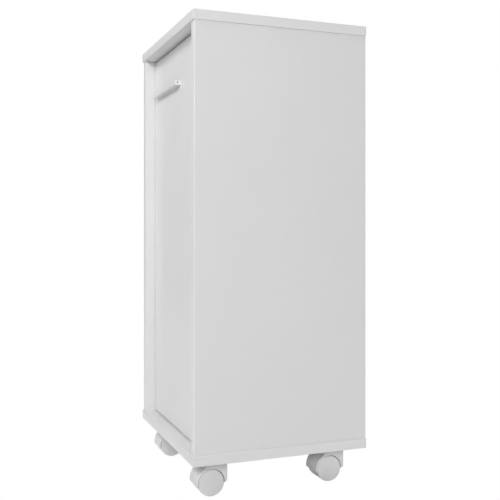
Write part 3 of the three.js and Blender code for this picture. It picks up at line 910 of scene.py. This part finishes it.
def build_catch():
    """Magnetic catch: grey body with two ears, a magnet and two steel pole plates in its front."""
    node = "magnetic_catch"
    low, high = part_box(node)
    centre = middle(node)
    corner = 0.8 * MM
    body_low = Vector((centre.x - CATCH_HALF_BODY, low.y, low.z))
    body_high = Vector((centre.x + CATCH_HALF_BODY, high.y, high.z))
    body = soft_box(body_low, body_high, corner)
    ears_low = Vector((low.x, low.y + MM, high.z - CATCH_EAR))
    ears = soft_box(ears_low, Vector((high.x, high.y - MM, high.z)), corner)
    window_low = Vector((centre.x - CATCH_WINDOW, low.y - MM, low.z + 3 * MM))
    window_high = Vector((centre.x + CATCH_WINDOW, low.y + 8 * MM, high.z - 3.5 * MM))
    window = soft_box(window_low, window_high, 0.2 * MM, 2)
    made = cut(join(body, ears), window, *[screw.bore() for screw in CATCH_SCREWS])
    add_piece(f"{node}_body", made, "grey", node, [node])

    gap = CATCH_GAP
    pole = CATCH_POLE
    inner_low = window_low + Vector((gap, MM + gap, gap))
    inner_high = window_high - Vector((gap, gap, gap))
    for word, z in (("lower", inner_low.z), ("upper", inner_high.z - pole)):
        plate_low = Vector((inner_low.x, inner_low.y, z))
        plate_high = Vector((inner_high.x, inner_high.y, z + pole))
        plate = soft_box(plate_low, plate_high, 0.15 * MM, 2)
        add_piece(f"{node}_pole_{word}", plate, "steel", CABINET_STEEL)
    magnet_low = Vector((inner_low.x + gap, inner_low.y + 0.6 * MM, inner_low.z + pole + gap))
    magnet_high = Vector((inner_high.x - gap, inner_high.y, inner_high.z - pole - gap))
    add_piece(f"{node}_magnet", soft_box(magnet_low, magnet_high, 0.2 * MM, 2), "magnet", node)
    for screw in CATCH_SCREWS:
        screw.build()


def build_strike():
    """The steel plate on the door that the magnet holds."""
    node = "strike_plate"
    low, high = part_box(node)
    half_width = (high.x - low.x) / 2
    half_height = (high.z - low.z) / 2
    outline = [
        (-half_width, -half_height),
        (half_width, -half_height),
        (half_width, half_height),
        (-half_width, half_height),
    ]
    sheet = prism(soften(outline, 1.5 * MM, 6, closed=True), 0, high.y - low.y, 0.15 * MM)
    centre = middle(node)
    put(sheet, (centre.x, high.y, centre.z), AXIS_TURNS["-Y"])
    made = cut(sheet, STRIKE_SCREW.sunk_bore())
    add_piece(f"{node}_shape", made, "steel", node, [node])
    STRIKE_SCREW.build()


# ---------------------------------------------------------------- castors

HOOD_WEB = 10 * MM              # thickness of the web between the two wheels
HOOD_POCKET = 21 * MM           # radius of the wheel pockets
HOOD_RIM = 1.2 * MM             # rounding of the hood's outer edges
HOOD_LIP = 9                    # degrees that the front wall reaches below the axle
HOOD_CROWN = 65                 # degrees up the front where the round wall ends
HOOD_TOP_FRONT = -4.6 * MM
HOOD_CORNER = 2.5 * MM
HOOD_CHAMFER = [(25.2 * MM, 1.4 * MM), (20.4 * MM, -1.6 * MM), (10 * MM, -6.6 * MM), (-10 * MM, -6.6 * MM)]
WHEEL_BORE = 2.65 * MM
WHEEL_BORE_DEPTH = 10 * MM
WHEEL_SHOULDER = 1.5 * MM
WHEEL_INNER_CHAMFER = 1.2 * MM
WHEEL_DOME = 0.4 * MM
WHEEL_RECESS = 1.6 * MM         # depth of the ring-shaped recess in the inner face
PLATE_CORNER = 6 * MM
PLATE_PIN_HOLE = 4 * MM         # radius
KINGPIN_RADIUS = 3 * MM
KINGPIN_BORE = 3.2 * MM
KINGPIN_FLANGE = 7 * MM         # radius
KINGPIN_FLANGE_THICKNESS = 0.9 * MM
KINGPIN_RIVET = 3.8 * MM        # radius


def build_hood(castor):
    """Moulded hood: a thin round wall over the wheels, a solid back and a web between them."""
    node = f"{castor}_hood"
    low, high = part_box(node)
    axle = middle(f"{castor}_axle")
    kingpin = middle(f"{castor}_kingpin")
    radius = axle.y - low.y
    back = high.y - axle.y
    top = high.z - axle.z
    half = (high.x - low.x) / 2
    corner = (back - HOOD_CORNER, top - HOOD_CORNER)
    outline = arc((0, 0), radius, 180 + HOOD_LIP, 180 - HOOD_CROWN, 14)
    outline += [(HOOD_TOP_FRONT - 1.5 * MM, top - 1.8 * MM), (HOOD_TOP_FRONT, top)]
    outline += arc(corner, HOOD_CORNER, 90, 0, 8)
    outline += HOOD_CHAMFER
    shell = put(prism(outline, -half, half, HOOD_RIM, 5), axle, ACROSS)
    depth = half - HOOD_WEB / 2 + MM
    pockets = []
    for sign, axis in ((1, "+X"), (-1, "-X")):
        start = axle + Vector((sign * HOOD_WEB / 2, 0, 0))
        pockets.append(plug(start, axis, HOOD_POCKET, depth, 128))
    bores = [
        plug(axle - Vector((half, 0, 0)), "+X", WHEEL_BORE, 2 * half, SMALL_ROUND),
        plug(Vector((kingpin.x, kingpin.y, axle.z + 4 * MM)), "+Z", KINGPIN_BORE, top, SMALL_ROUND),
    ]
    made = cut(shell, *pockets, *bores)
    add_piece(f"{node}_shell", made, "castor", node, [node], edge=0.25 * MM)


def build_wheel(castor, side):
    """One wheel disc: softly domed face, rounded shoulder and a small gate mark in its middle."""
    node = f"{castor}_wheel_{side}"
    low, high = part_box(node)
    centre = middle(node)
    sign = SIDES[side]
    radius = (high.z - low.z) / 2
    width = high.x - low.x
    rim = width - WHEEL_DOME
    corners = [
        (0, WHEEL_BORE_DEPTH),
        (WHEEL_BORE, WHEEL_BORE_DEPTH),
        (WHEEL_BORE, 0),
        (6.5 * MM, 0),
        (6.9 * MM, WHEEL_RECESS),
        (15.5 * MM, WHEEL_RECESS),
        (15.9 * MM, 0),
        (radius - WHEEL_INNER_CHAMFER, 0),
        (radius, WHEEL_INNER_CHAMFER),
    ]
    curve = arc((radius - WHEEL_SHOULDER, rim - WHEEL_SHOULDER), WHEEL_SHOULDER, 0, 84, 10)
    face = [(radius * 0.6, width - 0.18 * MM), (radius * 0.25, width - 0.02 * MM)]
    gate = [(1.3 * MM, width), (1.0 * MM, width - 0.25 * MM), (0, width - 0.25 * MM)]
    profile = soften(corners, 0.3 * MM, 3) + curve + face + gate
    disc = lathe(profile, FINE_ROUND)
    inner_x = low.x if sign > 0 else high.x
    put(disc, (inner_x, centre.y, centre.z), AXIS_TURNS["+X" if sign > 0 else "-X"])
    add_piece(f"{node}_disc", disc, "wheel", node, [node])


def build_plate(castor):
    """Mounting plate with countersunk corner holes and its four screws."""
    node = f"{castor}_plate"
    low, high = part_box(node)
    centre = middle(node)
    half = (high.x - low.x) / 2
    square = [(-half, -half), (half, -half), (half, half), (-half, half)]
    sheet = prism(soften(square, PLATE_CORNER, 8, closed=True), low.z, high.z, 0.2 * MM)
    put(sheet, (centre.x, centre.y, 0))
    own = [screw for screw in PLATE_SCREWS if screw.like == node]
    hole_start = Vector((centre.x, centre.y, low.z - MM))
    middle_hole = plug(hole_start, "+Z", PLATE_PIN_HOLE, 4 * MM, SMALL_ROUND)
    made = cut(sheet, middle_hole, *[screw.sunk_bore() for screw in own])
    add_piece(f"{node}_shape", made, "steel", node, [node])
    for screw in own:
        screw.build()


def build_kingpin(castor):
    """Pin riveted into the plate, with a flange under it that the hood turns against."""
    node = f"{castor}_kingpin"
    low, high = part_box(node)
    pin = middle(node)
    length = high.z - low.z
    flange_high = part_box(f"{castor}_plate")[0].z - low.z
    flange_low = flange_high - KINGPIN_FLANGE_THICKNESS
    corners = [
        (0, 0),
        (KINGPIN_RADIUS, 0),
        (KINGPIN_RADIUS, flange_low),
        (KINGPIN_FLANGE, flange_low),
        (KINGPIN_FLANGE, flange_high),
        (KINGPIN_RIVET, flange_high),
        (KINGPIN_RIVET, length),
        (0, length),
    ]
    made = put(lathe(soften(corners, 0.3 * MM, 3), SMALL_ROUND), (pin.x, pin.y, low.z))
    add_piece(f"{node}_shape", made, "steel", node, [node])


def build_axle(castor):
    """Plain steel axle with softened ends, pushed through the hood's web."""
    node = f"{castor}_axle"
    low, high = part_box(node)
    centre = middle(node)
    radius = (high.z - low.z) / 2
    length = high.x - low.x
    profile = soften([(0, 0), (radius, 0), (radius, length), (0, length)], 0.5 * MM, 3)
    rod = put(lathe(profile, SMALL_ROUND), (low.x, centre.y, centre.z), AXIS_TURNS["+X"])
    add_piece(f"{node}_shape", rod, "steel", node, [node])


def build_castors():
    for castor in CASTORS:
        build_hood(castor)
        build_plate(castor)
        build_kingpin(castor)
        build_axle(castor)
        for side in SIDES:
            build_wheel(castor, side)


# ---------------------------------------------------------------- floor, light and camera

FLOOR_SIZE = 30.0
FLOOR_BOUNCE = 0.78             # how much light the floor gives back to the cabinet
SKY_STRENGTH = 0.24             # of the even light, where 1 would look pure white
LIGHT_TARGET = (0, 0, 0.36)     # middle of the cabinet
LIGHTS = {                      # place, side of the square in metres, power in watts
    "front_softbox": ((0.6, -2.35, 2.35), 1.3, 48),
    "right_softbox": ((2.93, -1.37, 1.41), 1.0, 50),
    "top_softbox": ((0.5, -1.5, 3.6), 1.6, 5),
    "back_fill": ((-1.8, 2.8, 2.0), 2.4, 90),
}
CAMERA_PLACE = (1.233, -0.466, 0.4005)
CAMERA_AZIMUTH = 69.0
CAMERA_LENS = 55.73             # millimetres, on the default 36 mm sensor
CAMERA_SHIFT = -0.0414


def build_floor():
    """A white sweep: plain white to look at, and a softer grey in the light that it gives back."""
    bm = bmesh.new()
    bmesh.ops.create_grid(bm, x_segments=1, y_segments=1, size=FLOOR_SIZE / 2)
    floor = to_object(bm, "floor")
    surface = Surface("pale_floor", (FLOOR_BOUNCE,) * 3, 0.9)
    surface.shader.inputs["Specular IOR Level"].default_value = 0.0
    sweep = surface.finish(surface.spread(surface.noise(2), 0.99, 1.0), 0.02, surface.noise(4))
    seen = surface.nodes.new("ShaderNodeLightPath").outputs["Is Camera Ray"]
    white = surface.nodes.new("ShaderNodeEmission")
    mix = surface.nodes.new("ShaderNodeMixShader")
    surface.links.new(seen, mix.inputs[0])
    surface.links.new(surface.shader.outputs[0], mix.inputs[1])
    surface.links.new(white.outputs[0], mix.inputs[2])
    surface.links.new(mix.outputs[0], surface.nodes["Material Output"].inputs["Surface"])
    floor.data.materials.append(sweep)


def build_lights():
    """Square soft lights that aim at the cabinet. The fill isn't seen in reflections."""
    for name, (place, size, power) in LIGHTS.items():
        data = bpy.data.lights.new(name, "AREA")
        data.shape = "SQUARE"
        data.size = size
        data.energy = power
        light = bpy.data.objects.new(name, data)
        light.location = place
        aim = Vector(LIGHT_TARGET) - Vector(place)
        light.rotation_euler = aim.to_track_quat("-Z", "Y").to_euler()
        light.visible_camera = False
        light.visible_glossy = name != "back_fill"
        bpy.context.scene.collection.objects.link(light)


def build_sky():
    """White behind the cabinet, and a weaker even light from all round it."""
    world = bpy.data.worlds.new("studio")
    world.use_nodes = True
    nodes = world.node_tree.nodes
    links = world.node_tree.links
    background = nodes["Background"]
    background.inputs["Color"].default_value = (1, 1, 1, 1)
    seen = nodes.new("ShaderNodeLightPath").outputs["Is Camera Ray"]
    strength = nodes.new("ShaderNodeMapRange")
    strength.inputs["To Min"].default_value = SKY_STRENGTH
    strength.inputs["To Max"].default_value = 1.0
    links.new(seen, strength.inputs["Value"])
    links.new(strength.outputs["Result"], background.inputs["Strength"])
    bpy.context.scene.world = world
    bpy.context.scene.view_settings.view_transform = "Standard"


def build_camera():
    """A level camera whose picture is shifted down, so that upright edges stay parallel."""
    data = bpy.data.cameras.new("camera")
    data.lens = CAMERA_LENS
    data.shift_y = CAMERA_SHIFT
    camera = bpy.data.objects.new("camera", data)
    camera.location = CAMERA_PLACE
    camera.rotation_euler = (math.pi / 2, 0, math.radians(CAMERA_AZIMUTH))
    bpy.context.scene.collection.objects.link(camera)
    bpy.context.scene.camera = camera


# ---------------------------------------------------------------- the whole cabinet

build_boards()
build_pull()
build_hinges()
build_shelf_pins()
build_cam_locks()
build_assembly_screws()
build_catch()
build_strike()
build_castors()
build_floor()
build_lights()
build_sky()
build_camera()
